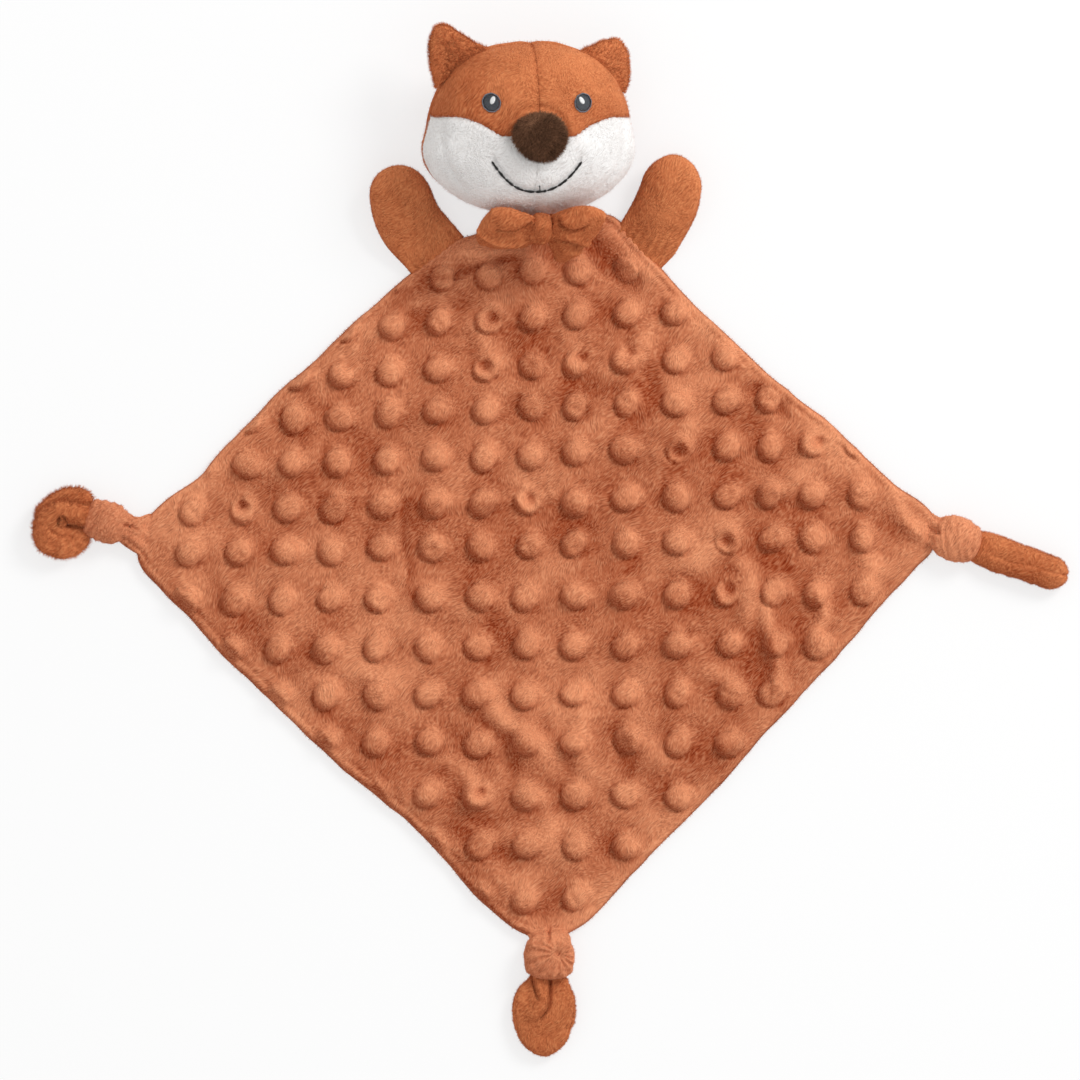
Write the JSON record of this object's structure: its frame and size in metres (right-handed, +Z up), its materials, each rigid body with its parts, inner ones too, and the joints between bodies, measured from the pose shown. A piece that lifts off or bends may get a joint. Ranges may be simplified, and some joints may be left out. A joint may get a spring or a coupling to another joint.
{
  "type": "comfort blanket lovey",
  "caption": "Small square dotted plush comfort blanket with a stuffed fox head, bow, two padded arms and knotted corner tails, laid flat on its back.",
  "frame": {"origin": "the middle of the blanket, on the flat underside of its back panel, at floor level", "axes": "+Y towards the head, +X towards the arm and the straight tail on the viewer's right, +Z up off the floor, out of the dotted face"},
  "size_m": [0.4606, 0.46, 0.0714],
  "materials": {
    "rust_minky": "embossed dotted plush",
    "rust_plush": "short pile plush",
    "white_plush": "short pile plush",
    "brown_plush": "long pile plush",
    "polyester_fibre": "loose fibre filling",
    "grey_thread": "satin stitch embroidery",
    "white_thread": "satin stitch embroidery",
    "black_thread": "stitched thread"
  },
  "bodies": {
    "blanket": {"blanket_back_panel": "rust_plush", "blanket_front_panel": "rust_minky"},
    "neck": {"neck_gather": "rust_plush", "bow_band": "rust_plush", "bow_loop_left": "rust_plush", "bow_loop_right": "rust_plush"},
    "head": {"forehead_left": "rust_plush", "forehead_right": "rust_plush", "cheek_left": "white_plush", "cheek_right": "white_plush", "head_back_left": "rust_plush", "head_back_right": "rust_plush", "head_filling": "polyester_fibre", "nose_cover": "brown_plush", "nose_filling": "polyester_fibre", "eye_left": "grey_thread", "eye_right": "grey_thread", "eye_glint_left": "white_thread", "eye_glint_right": "white_thread", "mouth_stitching": "black_thread", "mouth_tick": "black_thread"},
    "ear_left": {"ear_left_front": "rust_plush", "ear_left_back": "rust_plush"},
    "ear_right": {"ear_right_front": "rust_plush", "ear_right_back": "rust_plush"},
    "arm_left": {"arm_left_front_panel": "rust_plush", "arm_left_back_panel": "rust_plush", "arm_left_filling": "polyester_fibre"},
    "arm_right": {"arm_right_front_panel": "rust_plush", "arm_right_back_panel": "rust_plush", "arm_right_filling": "polyester_fibre"},
    "left_knot": {"left_knot": "rust_plush"},
    "left_tail": {"left_tail": "rust_plush"},
    "bottom_knot": {"bottom_knot": "rust_plush"},
    "bottom_tail": {"bottom_tail": "rust_plush"},
    "right_knot": {"right_knot": "rust_plush"},
    "right_tail": {"right_tail": "rust_plush"}
  },
  "joints": [
    {"name": "neck_nod", "type": "hinge", "parent": "blanket", "child": "neck", "pos_m": [0.00072, 0.1421, 0.0033], "axis": [-1, 0, 0], "range_deg": [-22, 75]},
    {"name": "head_turn", "type": "hinge", "parent": "neck", "child": "head", "pos_m": [0.00072, 0.1421, 0.0033], "axis": [0, 0.8815, 0.4722], "range_deg": [-12, 12]},
    {"name": "arm_left_flap", "type": "hinge", "parent": "blanket", "child": "arm_left", "pos_m": [-0.04544, 0.13196, 0.0033], "axis": [0.8241, 0.5664, 0], "range_deg": [-75, 78]},
    {"name": "arm_right_flap", "type": "hinge", "parent": "blanket", "child": "arm_right", "pos_m": [0.04707, 0.13504, 0.0033], "axis": [0.8878, -0.4602, 0], "range_deg": [-75, 78]},
    {"name": "ear_left_fold", "type": "hinge", "parent": "head", "child": "ear_left", "pos_m": [-0.03777, 0.21518, 0.03657], "axis": [0.6679, 0.7432, 0.0385], "range_deg": [-40, 50]},
    {"name": "ear_right_fold", "type": "hinge", "parent": "head", "child": "ear_right", "pos_m": [0.03179, 0.21408, 0.0266], "axis": [0.6044, -0.7653, -0.2212], "range_deg": [-10, 80]},
    {"name": "left_knot_flap", "type": "hinge", "parent": "blanket", "child": "left_knot", "pos_m": [-0.17595, 0.00453, 0.0033], "axis": [0.309, 0.9511, 0], "range_deg": [-60, 60]},
    {"name": "left_tail_swing", "type": "hinge", "parent": "left_knot", "child": "left_tail", "pos_m": [-0.20401, 0.01364, 0.0037], "axis": [0.309, 0.9511, 0], "range_deg": [-40, 40]},
    {"name": "bottom_knot_flap", "type": "hinge", "parent": "blanket", "child": "bottom_knot", "pos_m": [0.00507, -0.17704, 0.0033], "axis": [-0.9998, 0.0174, 0], "range_deg": [-60, 60]},
    {"name": "bottom_tail_swing", "type": "hinge", "parent": "bottom_knot", "child": "bottom_tail", "pos_m": [0.0047, -0.19803, 0.0037], "axis": [-0.9998, 0.0174, 0], "range_deg": [-40, 40]},
    {"name": "right_knot_flap", "type": "hinge", "parent": "blanket", "child": "right_knot", "pos_m": [0.17649, 0.00561, 0.0033], "axis": [-0.3256, -0.9455, 0], "range_deg": [-60, 60]},
    {"name": "right_tail_swing", "type": "hinge", "parent": "right_knot", "child": "right_tail", "pos_m": [0.19966, -0.00236, 0.0037], "axis": [-0.3256, -0.9455, 0], "range_deg": [-40, 40]}
  ]
}
